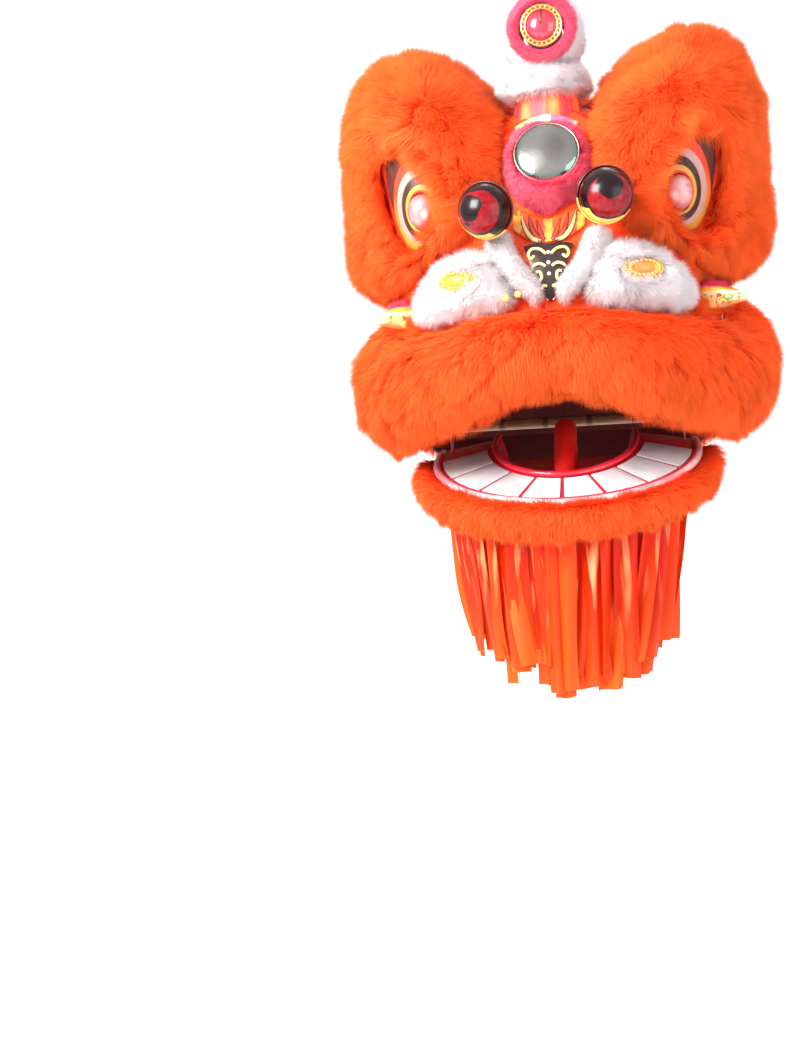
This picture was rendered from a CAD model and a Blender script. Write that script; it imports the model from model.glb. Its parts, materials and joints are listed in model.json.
import json
import math

import bmesh
import bpy
import numpy as np
from mathutils import Matrix, Vector
from mathutils.bvhtree import BVHTree
from mathutils.kdtree import KDTree


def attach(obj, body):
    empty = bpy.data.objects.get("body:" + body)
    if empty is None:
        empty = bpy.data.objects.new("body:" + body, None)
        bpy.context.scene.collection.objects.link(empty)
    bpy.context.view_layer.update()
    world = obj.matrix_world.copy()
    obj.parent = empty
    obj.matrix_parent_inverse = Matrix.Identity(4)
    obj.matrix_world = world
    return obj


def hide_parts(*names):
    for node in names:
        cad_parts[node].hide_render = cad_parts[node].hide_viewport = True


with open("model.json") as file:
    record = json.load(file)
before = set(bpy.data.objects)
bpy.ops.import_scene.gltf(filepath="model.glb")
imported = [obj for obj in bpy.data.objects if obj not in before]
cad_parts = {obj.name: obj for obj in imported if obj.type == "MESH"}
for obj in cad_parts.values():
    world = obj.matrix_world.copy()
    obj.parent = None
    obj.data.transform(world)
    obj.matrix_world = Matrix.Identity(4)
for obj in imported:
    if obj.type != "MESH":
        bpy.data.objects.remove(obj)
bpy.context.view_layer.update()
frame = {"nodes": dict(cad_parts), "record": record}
nodes = frame["nodes"]
bodyOf = {name: body for body, names in frame["record"]["behaviour"]["bodies"].items() for name in names}
halves = ((1, "left"), (-1, "right"))  # the sign of x on each side, and its word
scene = bpy.context.scene
print("frame loaded")


# the photograph's view: a point of the object, the pixel where it shows, and the scale there
view = {
    "azimuth": 9.0,
    "elevation": 6.0,
    "roll": 3.7,
    "distance": 2.8,
    "metresPerPixel": 0.0016,
    "base": (0.0, -0.2, 0.0),
    "basePixel": (561.0, 428.6),
    "frame": (790, 1041),
    "sensor": 36.0,
}


def makeCamera():
    turn, rise, roll = (math.radians(view[key]) for key in ("azimuth", "elevation", "roll"))
    back = Vector((math.sin(turn) * math.cos(rise), -math.cos(turn) * math.cos(rise), math.sin(rise)))
    up = (Vector((0, 0, 1)) - back * back.z).normalized()
    right = up.cross(back)
    right, up = right * math.cos(roll) - up * math.sin(roll), right * math.sin(roll) + up * math.cos(roll)
    width, height = view["frame"]
    px, py = view["basePixel"]
    step = view["metresPerPixel"]
    target = Vector(view["base"]) - right * ((px - width / 2) * step) - up * ((height / 2 - py) * step)
    camera = bpy.data.objects.new("camera", bpy.data.cameras.new("camera"))
    scene.collection.objects.link(camera)
    stance = Matrix((right, up, back)).transposed().to_4x4()
    camera.matrix_world = Matrix.Translation(target + back * view["distance"]) @ stance
    camera.data.sensor_fit = "HORIZONTAL"
    camera.data.sensor_width = view["sensor"]
    camera.data.lens = view["sensor"] * view["distance"] / (width * step)
    camera.data.clip_end = 50.0
    scene.camera = camera


studio = {
    "floor": {"height": -1.15, "size": 6.0, "middle": -1.5, "back": 4.0, "wall": 8.0, "bend": 1.5},
    "paper": (0.86, 0.86, 0.86),
    "aim": (0, 0, 0.2),
    "lamps": {
        "key": {"place": (-1.9, -2.3, 1.7), "size": 1.6, "power": 290.0, "colour": (1.0, 0.97, 0.93)},
        "fill": {"place": (2.4, -2.0, 0.4), "size": 2.4, "power": 50.0, "colour": (1.0, 0.98, 0.98)},
        "rim": {"place": (0.6, 2.2, 2.2), "size": 1.8, "power": 45.0, "colour": (1.0, 1.0, 1.0)},
    },
    "world": 1.05,
}


def makeStudio():
    # a floor that bends up into a wall behind, three soft lamps and an even pale sky
    floor = studio["floor"]
    bm = bmesh.new()
    bmesh.ops.create_grid(bm, x_segments=1, y_segments=1, size=floor["size"])
    bmesh.ops.translate(bm, verts=bm.verts[:], vec=(0, floor["middle"], floor["height"]))
    drawOut(bm, [e for e in bm.edges if all(v.co.y > floor["back"] for v in e.verts)], (0, 0, floor["wall"]))
    corner = [
        e for e in bm.edges
        if all(abs(v.co.z - floor["height"]) < 0.01 and v.co.y > floor["back"] for v in e.verts)
    ]
    bmesh.ops.bevel(bm, geom=corner, affect="EDGES", offset=floor["bend"], segments=10, profile=0.5, material=-1)
    addPiece("backdrop", bm, plain("backdropPaper", studio["paper"], 0.9))
    for name, lamp in studio["lamps"].items():
        light = bpy.data.lights.new(name, "AREA")
        light.size = lamp["size"]
        light.energy = lamp["power"]
        light.color = lamp["colour"]
        obj = bpy.data.objects.new(name, light)
        scene.collection.objects.link(obj)
        obj.location = lamp["place"]
        obj.rotation_euler = (Vector(studio["aim"]) - obj.location).to_track_quat("-Z", "Y").to_euler()
    world = bpy.data.worlds.new("studio")
    world.use_nodes = True
    background = world.node_tree.nodes["Background"]
    background.inputs["Color"].default_value = (1.0, 1.0, 1.0, 1.0)
    background.inputs["Strength"].default_value = studio["world"]
    scene.world = world
    scene.view_settings.view_transform = "Standard"


def startMaterial(name):
    material = bpy.data.materials.new(name)
    material.use_nodes = True
    return material, material.node_tree.nodes["Principled BSDF"]


def addNode(material, kind, inputs=(), **settings):
    node = material.node_tree.nodes.new("ShaderNode" + kind)
    for key, value in settings.items():
        setattr(node, key, value)
    feed(material, node, inputs)
    return node


def feed(material, node, inputs):
    # each input takes a plain value or the output of another node
    for key, value in dict(inputs).items():
        if isinstance(value, bpy.types.NodeSocket):
            material.node_tree.links.new(value, node.inputs[key])
        else:
            node.inputs[key].default_value = value


def rgba(colour):
    return (*colour, 1.0)


def ramp(material, factor, stops, mode="LINEAR"):
    node = addNode(material, "ValToRGB", {0: factor})
    node.color_ramp.interpolation = mode
    elements = node.color_ramp.elements
    while len(elements) < len(stops):
        elements.new(0.5)
    for element, (position, colour) in zip(elements, stops):
        element.position = position
        element.color = rgba(colour)
    return node.outputs[0]


def mixColour(material, factor, low, high):
    low, high = (rgba(tone) if isinstance(tone, tuple) else tone for tone in (low, high))
    return addNode(material, "Mix", {0: factor, 6: low, 7: high}, data_type="RGBA").outputs[2]


def maths(material, operation, first, second=0.0, third=0.0):
    return addNode(material, "Math", {0: first, 1: second, 2: third}, operation=operation).outputs[0]


def vectorMaths(material, operation, first, second=(0, 0, 0)):
    node = addNode(material, "VectorMath", {0: first, 1: second}, operation=operation)
    return node.outputs["Value" if operation in ("DOT_PRODUCT", "LENGTH") else 0]


def mapped(material, value, start=(0.0, 1.0), end=(0.0, 1.0)):
    inputs = {"Value": value, "From Min": start[0], "From Max": start[1], "To Min": end[0], "To Max": end[1]}
    return addNode(material, "MapRange", inputs).outputs[0]


def attribute(material, name):
    return addNode(material, "Attribute", attribute_name=name).outputs["Fac"]


def axes(material, vector):
    return addNode(material, "SeparateXYZ", {0: vector}).outputs


def letThrough(material, shader, colour, share):
    # part of the light comes through from behind
    through = addNode(material, "BsdfTranslucent", {"Color": colour})
    blend = addNode(material, "MixShader", {0: share, 1: shader.outputs[0], 2: through.outputs[0]})
    output = material.node_tree.nodes["Material Output"]
    material.node_tree.links.new(blend.outputs[0], output.inputs["Surface"])


def place(material):
    return addNode(material, "TexCoord").outputs["Object"]


def moved(material, vector, location=(0, 0, 0), turn=(0, 0, 0), scale=(1, 1, 1)):
    inputs = {"Vector": vector, "Location": location, "Rotation": turn, "Scale": scale}
    return addNode(material, "Mapping", inputs).outputs[0]


def noise(material, vector, scale, detail=3.0, roughness=0.5, distortion=0.0):
    inputs = {"Vector": vector, "Scale": scale, "Detail": detail, "Roughness": roughness, "Distortion": distortion}
    return addNode(material, "TexNoise", inputs).outputs[0]


def bump(material, height, strength, distance=0.001):
    inputs = {"Height": height, "Strength": strength, "Distance": distance}
    return addNode(material, "Bump", inputs).outputs[0]


def plain(name, colour, roughness):
    material, shader = startMaterial(name)
    feed(material, shader, {"Base Color": rgba(colour), "Roughness": roughness})
    return material


def onlyXZ(material, mirrored=True):
    # the picture plane of a painted pattern: x counted from the middle line, and z
    parts = axes(material, place(material))
    across = maths(material, "ABSOLUTE", parts[0]) if mirrored else parts[0]
    return addNode(material, "CombineXYZ", {0: across, 1: 0.0, 2: parts[2]}).outputs[0]


def spot(material, vector, centre, radii, soft):
    # 1 inside an ellipse of the picture plane and 0 outside it
    shifted = moved(material, vector, location=(-centre[0], 0, -centre[1]))
    scaled = moved(material, shifted, scale=(1 / radii[0], 0, 1 / radii[1]))
    return mapped(material, vectorMaths(material, "LENGTH", scaled), (1.0 - soft, 1.0 + soft), (1.0, 0.0))


def addMesh(name, mesh, material):
    obj = bpy.data.objects.new(name, mesh)
    scene.collection.objects.link(obj)
    mesh.materials.clear()
    mesh.materials.append(material)
    mesh.shade_smooth()
    return obj


def addPiece(name, bm, material, sharp=None):
    mesh = bpy.data.meshes.new(name)
    bm.to_mesh(mesh)
    bm.free()
    obj = addMesh(name, mesh, material)
    if sharp:
        mesh.set_sharp_from_angle(angle=math.radians(sharp))
    return obj


def standIn(piece, *names):
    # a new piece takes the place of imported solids
    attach(piece, bodyOf[names[0]])
    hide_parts(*names)
    return piece


def onHead(piece):
    # thin trim or loose hair that replaces nothing
    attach(piece, "head")


def facing(centre, axis):
    # a frame with Z along the axis and Y as near up as it can be
    axis = Vector(axis).normalized()
    across = Vector((0, 0, 1)).cross(axis).normalized()
    turn = Matrix((across, axis.cross(across), axis)).transposed().to_4x4()
    return Matrix.Translation(Vector(centre)) @ turn


def flipped(point, side):
    return Vector((point[0] * side, point[1], point[2]))


def drawOut(bm, edges, offset):
    # a strip drawn out of the edges
    drawn = bmesh.ops.extrude_edge_only(bm, edges=edges)["geom"]
    bmesh.ops.translate(bm, verts=[part for part in drawn if isinstance(part, bmesh.types.BMVert)], vec=offset)


def turned(profile, matrix, steps=48, stretch=(1.0, 1.0)):
    # a profile of radius and height, turned round the frame's Z
    bm = bmesh.new()
    verts = [bm.verts.new((radius, 0, height)) for radius, height in profile]
    edges = [bm.edges.new(pair) for pair in zip(verts, verts[1:])]
    bmesh.ops.spin(
        bm, geom=verts + edges, cent=(0, 0, 0), axis=(0, 0, 1), angle=math.tau, steps=steps, use_merge=True
    )
    bmesh.ops.remove_doubles(bm, verts=bm.verts[:], dist=0.00001)
    bm.transform(matrix @ Matrix.Diagonal((stretch[0], stretch[1], 1, 1)))
    bmesh.ops.recalc_face_normals(bm, faces=bm.faces[:])
    return bm


def circle(matrix, radius, height, count):
    # points of a ring round the frame's Z
    angles = np.linspace(0, math.tau, count, endpoint=False)
    return [matrix @ Vector((math.cos(a) * radius, math.sin(a) * radius, height)) for a in angles]


def makeBead(radius, matrix, squash=(1, 1, 1), segments=(12, 8)):
    bead = bmesh.new()
    bmesh.ops.create_uvsphere(bead, u_segments=segments[0], v_segments=segments[1], radius=radius)
    bmesh.ops.scale(bead, verts=bead.verts[:], vec=squash)
    bead.transform(matrix)
    return bead


def wire(points, radius, closed=False, around=8):
    # a bmesh tube along the points, from a curve with a round bevel
    curve = bpy.data.curves.new("wire", "CURVE")
    curve.dimensions = "3D"
    curve.bevel_depth = radius
    curve.bevel_resolution = around // 4 - 1
    curve.use_fill_caps = True
    line = curve.splines.new("POLY")
    line.points.add(len(points) - 1)
    for knot, point in zip(line.points, points):
        knot.co = (*point, 1.0)
    line.use_cyclic_u = closed
    holder = bpy.data.objects.new("wire", curve)
    scene.collection.objects.link(holder)
    mesh = meshFrom(holder)
    bm = bmesh.new()
    bm.from_mesh(mesh)
    bpy.data.curves.remove(curve)
    bpy.data.meshes.remove(mesh)
    bmesh.ops.remove_doubles(bm, verts=bm.verts[:], dist=0.00001)
    bmesh.ops.recalc_face_normals(bm, faces=bm.faces[:])
    return bm


def meshFrom(holder):
    # the mesh that a curve or a modifier makes, without the object that held it
    mesh = bpy.data.meshes.new_from_object(holder.evaluated_get(bpy.context.evaluated_depsgraph_get()))
    bpy.data.objects.remove(holder)
    return mesh


def joined(parts):
    # several bmeshes as one
    whole = bmesh.new()
    for part in parts:
        mesh = bpy.data.meshes.new("part")
        part.to_mesh(mesh)
        part.free()
        whole.from_mesh(mesh)
        bpy.data.meshes.remove(mesh)
    return whole


def smoothLine(controls, count):
    # points along a smooth curve through the controls
    controls = [Vector(control) for control in controls]
    last = len(controls) - 1
    points = []
    for k in range(count):
        at = k * last / (count - 1)
        i = min(int(at), last - 1)
        t = at - i
        a, b, c, d = (controls[min(max(i + n, 0), last)] for n in (-1, 0, 1, 2))
        cubic = (3 * b - a - 3 * c + d) * t**3
        points.append(0.5 * (2 * b + (c - a) * t + (2 * a - 5 * b + 4 * c - d) * t * t + cubic))
    return points


def weldedCopy(node):
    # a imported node's loose triangles as one closed bmesh
    bm = bmesh.new()
    bm.from_mesh(nodes[node].data)
    bmesh.ops.remove_doubles(bm, verts=bm.verts[:], dist=0.00001)
    return bm


def surfaceOf(*names):
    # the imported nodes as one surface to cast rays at
    bm = bmesh.new()
    for name in names:
        bm.from_mesh(nodes[name].data)
    tree = BVHTree.FromBMesh(bm)
    bm.free()
    return tree


def laid(tree, x, z, lift=0.0, start=-0.6):
    # the point of a surface straight behind a point of the picture plane
    hit, normal, _, _ = tree.ray_cast(Vector((x, start, z)), Vector((0, 1, 0)))
    return None if hit is None else hit + normal * lift


def remeshed(node, cell, rounds):
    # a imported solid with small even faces, smoothed
    bm = weldedCopy(node)
    mesh = bpy.data.meshes.new(node)
    bm.to_mesh(mesh)
    bm.free()
    holder = bpy.data.objects.new(node, mesh)
    scene.collection.objects.link(holder)
    remesh = holder.modifiers.new("remesh", "REMESH")
    remesh.mode = "VOXEL"
    remesh.voxel_size = cell
    fine = meshFrom(holder)
    bm = bmesh.new()
    bm.from_mesh(fine)
    bpy.data.meshes.remove(mesh)
    bpy.data.meshes.remove(fine)
    for _ in range(rounds):
        bmesh.ops.smooth_vert(
            bm, verts=bm.verts[:], factor=0.5, use_axis_x=True, use_axis_y=True, use_axis_z=True
        )
    bm.normal_update()
    return bm


def smoothed(node, cell, rounds, name, material, puff):
    # a painted piece with no sharp edges, a little fuller than its solid
    bm = remeshed(node, cell, rounds)
    for vert in bm.verts:
        vert.co += vert.normal * puff
    return addPiece(name, bm, material)


def rounded(node, name, material, width, angle=25.0):
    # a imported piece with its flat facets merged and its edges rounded
    bm = weldedCopy(node)
    bmesh.ops.dissolve_limit(bm, angle_limit=math.radians(2.0), verts=bm.verts[:], edges=bm.edges[:])
    edges = [e for e in bm.edges if len(e.link_faces) == 2 and e.calc_face_angle() > math.radians(angle)]
    bmesh.ops.bevel(
        bm, geom=edges, affect="EDGES", offset=width, segments=3, profile=0.5, material=-1,
        clamp_overlap=True, loop_slide=True,
    )
    return addPiece(name, bm, material, sharp=35)


def repaint(node, material):
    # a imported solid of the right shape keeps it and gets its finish
    nodes[node].data.materials.clear()
    nodes[node].data.materials.append(material)


furCentre = Vector((0.0, -0.01, 0.24))  # what faces outwards on the head is judged from here
headMiddle = np.array(furCentre)


def furMaterial(name, look):
    material, shader = startMaterial(name)
    stops = [(0.0, look["root"]), (0.45, look["middle"]), (1.0, look["tip"])]
    colour = ramp(material, attribute(material, "along"), stops)
    patch = noise(material, place(material), look["patch"], 2.0)
    patched = mixColour(material, maths(material, "MULTIPLY", patch, 0.7), colour, look["warm"])
    value = mapped(material, attribute(material, "shade"), end=(1.0 - look["vary"], 1.0 + look["vary"]))
    final = addNode(material, "HueSaturation", {"Color": patched, "Value": value}).outputs[0]
    feed(material, shader, {"Base Color": final, "Roughness": 0.7, "Specular IOR Level": 0.12})
    sheen = {"Sheen Weight": look["sheen"], "Sheen Roughness": 0.45, "Sheen Tint": rgba(look["sheenTint"])}
    feed(material, shader, sheen)
    letThrough(material, shader, final, look["through"])
    return material


def skinMaterial(name, low, high):
    # the short dense underfur, seen between the hairs
    material, shader = startMaterial(name)
    where = place(material)
    fine = noise(material, where, 400.0, 4.0, 0.7)
    broad = noise(material, where, 60.0, 3.0, 0.6)
    mottle = maths(material, "MULTIPLY_ADD", fine, 0.6, maths(material, "MULTIPLY", broad, 0.4))
    colour = ramp(material, mottle, [(0.3, low), (0.7, high)])
    feed(material, shader, {"Base Color": colour, "Roughness": 0.9, "Normal": bump(material, fine, 0.8, 0.004)})
    feed(material, shader, {"Sheen Weight": 0.3, "Sheen Roughness": 0.5, "Sheen Tint": rgba(high)})
    return material


def softBody(node, look):
    # the remeshed solid, sunk by about half the depth of its pile
    bm = remeshed(node, look["cell"], look["rounds"])
    for vert in bm.verts:
        # the side that lies on the form stays there
        away = vert.normal.dot((vert.co - furCentre).normalized())
        vert.co -= vert.normal * look["sink"] * min(1.0, max(0.15, away * 1.6 + 0.7))
    bm.normal_update()
    return standIn(addPiece(node + "_skin", bm, look["skin"]), node)


def unit(rows):
    return rows / np.maximum(np.linalg.norm(rows, axis=1), 1e-9)[:, None]


def alignment(normals, directions):
    # the cosine between each normal and its direction
    return (normals * unit(directions)).sum(axis=1)


def readRows(values, key, kind=float):
    # the rows of three numbers of a mesh, as an array
    rows = np.empty(len(values) * 3, kind)
    values.foreach_get(key, rows)
    return rows.reshape(-1, 3)


def sampled(mesh, count, rng, keep):
    # points spread evenly over the part of a mesh that is kept, with the normals there
    mesh.calc_loop_triangles()
    corners = readRows(mesh.loop_triangles, "vertices", np.int32)
    places = readRows(mesh.vertices, "co")
    normals = readRows(mesh.vertex_normals, "vector")
    a, b, c = (places[corners[:, n]] for n in range(3))
    square = np.cross(b - a, c - a)
    area = np.linalg.norm(square, axis=1) / 2
    faceNormals = square / np.maximum(area[:, None] * 2, 1e-12)
    area = area * keep((a + b + c) / 3, faceNormals)
    picked = rng.choice(len(corners), count, p=area / area.sum())
    s, t = np.sqrt(rng.random(count))[:, None], rng.random(count)[:, None]
    weights = (1 - s, s * (1 - t), s * t)
    roots = sum(w * places[corners[picked, n]] for n, w in enumerate(weights))
    ups = sum(w * normals[corners[picked, n]] for n, w in enumerate(weights))
    return roots, unit(ups)


def facingFrom(middle, limit, weights=(1, 1, 1)):
    # hair grows where the skin faces away from a middle point
    def keep(centres, normals):
        return (alignment(normals, (centres - np.array(middle)) * weights) > limit).astype(float)
    return keep


def combed(middle, spread, fall, weights=(1, 1, 1)):
    # hair lies away from a middle point and falls one way
    def comb(roots, ups):
        return unit((roots - np.array(middle)) * weights) * spread + np.array(fall)
    return comb


def downward(roots, ups):
    return np.tile((0.0, 0.0, -1.0), (len(roots), 1))


flatWise = (1, 1, 0)  # weights that leave the height out
outside = facingFrom(furCentre, -0.12)


def wander(points, scale, rng):
    # a smooth random field of directions, from a few sine waves
    total = np.zeros_like(points)
    for _ in range(5):
        wave = rng.normal(size=(3, 3)) * scale
        total += np.sin(points @ wave + rng.random(3) * math.tau)
    return total / 3.0


def hairMesh(name, corners):
    # one loose triangle for each row of three corners
    count = len(corners)
    mesh = bpy.data.meshes.new(name)
    mesh.vertices.add(count * 3)
    mesh.vertices.foreach_set("co", corners.ravel())
    mesh.loops.add(count * 3)
    mesh.loops.foreach_set("vertex_index", np.arange(count * 3))
    mesh.polygons.add(count)
    mesh.polygons.foreach_set("loop_start", np.arange(count) * 3)
    mesh.update(calc_edges=True)
    return mesh


def growFur(name, roots, ups, flow, pile, material, seed, longer=1.0):
    # each hair is a long thin triangle, gathered into tufts and combed along the flow
    rng = np.random.default_rng(seed)
    count = len(roots)
    flow = unit(flow - ups * (flow * ups).sum(axis=1)[:, None] * 0.85)
    tufts = max(8, count // pile["perTuft"])
    heads = rng.choice(count, tufts, replace=False)
    tree = KDTree(tufts)
    for k, head in enumerate(heads):
        tree.insert(roots[head], k)
    tree.balance()
    tuft = np.array([tree.find(root)[1] for root in roots])
    tuftTurn = rng.normal(size=(tufts, 3))[tuft] * pile["tuftTurn"]
    tuftLong = (1 + pile["tuftLong"] * rng.uniform(-1, 1, tufts))[tuft]
    field = wander(roots, 45.0, rng) * pile["sway"]
    tangle = rng.normal(size=(count, 3)) * pile["scatter"]
    forward = flow * (1 - pile["lift"] + 0.4 * pile["bend"])
    hang = np.array((0.0, 0.0, -1.0)) * 0.4 * pile["droop"]
    lean = unit(ups * pile["lift"] + forward + hang + field + tuftTurn + tangle)
    # no hair dives into the skin
    lean = unit(lean + ups * np.maximum(0.0, 0.15 - (lean * ups).sum(axis=1))[:, None])
    long = (pile["length"] * longer * tuftLong * rng.uniform(1 - pile["uneven"], 1.0, count))[:, None]
    tips = roots + lean * long
    lead = heads[tuft]
    pull = pile["pull"]
    tips = tips * (1 - pull) + (tips[lead] + (roots - roots[lead]) * 0.3) * pull
    roll = rng.normal(size=count)[:, None] * 0.45
    across = unit(unit(np.cross(tips - roots, ups)) + ups * roll)
    wide = pile["width"] * rng.uniform(0.7, 1.3, count)[:, None] * 0.5
    base = roots - ups * 0.002
    mesh = hairMesh(name, np.stack((base - across * wide, base + across * wide, tips), axis=1))
    tone = 0.6 * rng.random(count) + 0.4 * rng.random(tufts)[tuft]
    for key, values in (("along", np.tile((0.0, 0.0, 1.0), count)), ("shade", np.repeat(tone, 3))):
        mesh.attributes.new(key, "FLOAT", "POINT").data.foreach_set("value", values)
    # soft shading: the normals of the pile lie between the skin's and each blade's
    blade = unit(np.cross(across, tips - roots))
    blade *= np.sign((blade * ups).sum(axis=1))[:, None]
    shading = unit(ups * pile["soft"] + blade * (1 - pile["soft"]) + unit(tips - roots) * 0.25)
    fur = addMesh(name, mesh, material)
    mesh.normals_split_custom_set_from_vertices(np.repeat(shading, 3, axis=0).tolist())
    print("fur", name, count, "triangles")
    return fur


orangeLook = {
    "root": (0.84, 0.026, 0.004), "middle": (1.0, 0.085, 0.010), "tip": (1.0, 0.185, 0.034),
    "warm": (1.0, 0.25, 0.06),
    "patch": 8.0, "vary": 0.15, "sheen": 0.16, "sheenTint": (1.0, 0.46, 0.20), "through": 0.48,
}
whiteLook = {
    "root": (0.86, 0.79, 0.83), "middle": (0.93, 0.90, 0.92), "tip": (0.97, 0.95, 0.96), "warm": (0.97, 0.89, 0.92),
    "patch": 14.0, "vary": 0.02, "sheen": 0.4, "sheenTint": (1.0, 1.0, 1.0), "through": 0.5,
}
pinkLook = {
    "root": (0.86, 0.012, 0.06), "middle": (1.0, 0.05, 0.14), "tip": (1.0, 0.17, 0.28), "warm": (1.0, 0.32, 0.44),
    "patch": 16.0, "vary": 0.06, "sheen": 0.12, "sheenTint": (1.0, 0.5, 0.6), "through": 0.48,
}
orangeFur = furMaterial("orangeFur", orangeLook)
whiteFur = furMaterial("whiteFur", whiteLook)
pinkFur = furMaterial("pinkFur", pinkLook)
orangeSkin = skinMaterial("orangeUnderfur", (0.74, 0.026, 0.002), (0.96, 0.075, 0.004))
whiteSkin = skinMaterial("whiteUnderfur", (0.88, 0.81, 0.85), (0.95, 0.92, 0.94))
pinkSkin = skinMaterial("pinkUnderfur", (0.62, 0.010, 0.05), (0.92, 0.05, 0.14))


def dress(node, look, seed, keep=outside, longerOf=None):
    # one fur piece: its soft body under its hair
    skin = softBody(node, look)
    roots, ups = sampled(skin.data, look["hairs"], np.random.default_rng(seed), keep)
    longer = longerOf(roots) if longerOf else 1.0
    flow = look["comb"](roots, ups)
    standIn(growFur(node + "_pile", roots, ups, flow, look["pile"], look["fur"], seed + 1, longer), node)
    return skin


browPile = {
    "length": 0.036, "width": 0.0015, "uneven": 0.40,
    "perTuft": 420, "tuftTurn": 0.09, "tuftLong": 0.10, "pull": 0.22,
    "lift": 0.60, "bend": 0.35, "droop": 0.35, "sway": 0.16, "scatter": 0.17, "soft": 0.82,
}
browLook = {
    "cell": 0.011, "rounds": 6, "sink": 0.010, "skin": orangeSkin, "fur": orangeFur, "hairs": 132000, "pile": browPile,
}
eye = {"middle": (0.222, -0.17, 0.370), "half": (0.056, 0.080), "lidSide": (-0.75, 0.0, 0.66), "lidShare": 0.35}


def eyeReach(roots, side):
    # how far out of the eye's opening a root lies, and how far towards its top and its nose side
    offset = roots - np.array(eye["middle"]) * (side, 1, 1)
    reach = np.hypot(np.hypot(offset[:, 0], offset[:, 1]) / eye["half"][0], offset[:, 2] / eye["half"][1])
    radial = unit(offset)
    lidSide = np.array(eye["lidSide"]) * (side, 1, 1)
    return reach, radial, np.clip(radial @ lidSide + eye["lidShare"], 0.0, 1.0)


def browComb(side):
    def comb(roots, ups):
        reach, radial, share = eyeReach(roots, side)
        share = share[:, None]
        away = radial * 0.8 + np.array((0.15 * side, 0.0, -0.75))
        over = np.array((0.30 * side, 0.0, -0.70)) - radial * 0.7
        near = np.clip(2.2 - reach, 0.0, 1.0)[:, None]
        return away * (1 - share * near) + over * share * near
    return comb


def browLonger(side):
    def longer(roots):
        # the lid's hair hangs over the painted eye
        reach, _, share = eyeReach(roots, side)
        return 1.0 + 0.9 * share * np.clip((1.6 - reach) / 0.4, 0.0, 1.0)
    return longer


def browKeep(side):
    def keep(centres, normals):
        # the wall of the eye's opening has hair too
        reach, _, _ = eyeReach(centres, side)
        wall = (reach < 1.3) & (alignment(normals, centres - headMiddle) > -0.55)
        return np.maximum(outside(centres, normals), wall)
    return keep


# the lid's edge from its outer to its inner end, and the plane just in front of the painted plate
lid = {
    "line": ((0.246, 0.456), (0.214, 0.424), (0.197, 0.391), (0.180, 0.361), (0.174, 0.329)),
    "plane": {"point": (0.2304, -0.186, 0.3749), "normal": (0.7253, -0.6723, -0.1485)},
    "tried": 40000, "hairs": 13000, "reach": 0.060, "over": 1.12,
}
lidPile = dict(
    browPile, length=0.060, perTuft=260, tuftTurn=0.04, tuftLong=0.06, sway=0.05, scatter=0.08, lift=0.14,
    bend=0.0, droop=0.0, pull=0.10, uneven=0.30, width=0.0018,
)


def growLid(skin, side, word):
    # a lid of longer hair, from the brow down to a line across the painted eye
    line = np.array([tuple(p) for p in smoothLine([(x * side, 0.0, z) for x, z in lid["line"]], 40)])

    def atLid(centres, normals):
        reach, _, share = eyeReach(centres, side)
        shown = alignment(normals, centres - headMiddle) > -0.2
        return ((reach < 2.1) & (share > 0.28) & shown).astype(float)

    roots, ups = sampled(skin.data, lid["tried"], np.random.default_rng(17 + side), atLid)
    gaps = np.hypot(roots[:, None, 0] - line[None, :, 0], roots[:, None, 2] - line[None, :, 2])
    ends = line[gaps.argmin(axis=1)]
    x, y, z = lid["plane"]["point"]
    nx, ny, nz = lid["plane"]["normal"]
    ends[:, 1] = y - (nx * (np.abs(ends[:, 0]) - x) + nz * (ends[:, 2] - z)) / ny
    reach = np.linalg.norm(ends - roots, axis=1)
    near = np.flatnonzero(reach < lid["reach"])[: lid["hairs"]]
    longer = (reach[near] + 0.004) * lid["over"] / lidPile["length"]
    flow = ends[near] - roots[near]
    hair = growFur("lid_" + word, roots[near], ups[near], flow, lidPile, orangeFur, 19 + side, longer)
    onHead(hair)


lipLook = dict(
    browLook, cell=0.012, hairs=150000, sink=0.012, comb=combed((0.0, -0.05, 0.0), 0.25, (0.0, 0.0, -1.0), flatWise),
    pile=dict(browPile, length=0.042, lift=0.50, droop=0.60, bend=0.5, tuftLong=0.14, pull=0.26),
)
backLook = dict(
    browLook, cell=0.015, hairs=80000, comb=combed((0.0, 0.30, 0.28), 1.1, (0.0, 0.0, -0.7)),
    pile=dict(browPile, length=0.038, perTuft=360, lift=0.42, droop=0.5, width=0.0022),
)
chinLook = dict(
    browLook, cell=0.007, hairs=56000, sink=0.003, comb=combed((0.0, -0.10, 0.0), 0.5, (0.0, 0.0, -1.0), flatWise),
    pile=dict(browPile, length=0.034, perTuft=300, lift=0.42, droop=0.55, width=0.0016, pull=0.14, tuftTurn=0.06),
)
chinKeep = facingFrom((0.0, -0.09, -0.05), -0.6, (1, 1, 0.4))  # no hair grows towards the mouth

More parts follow.
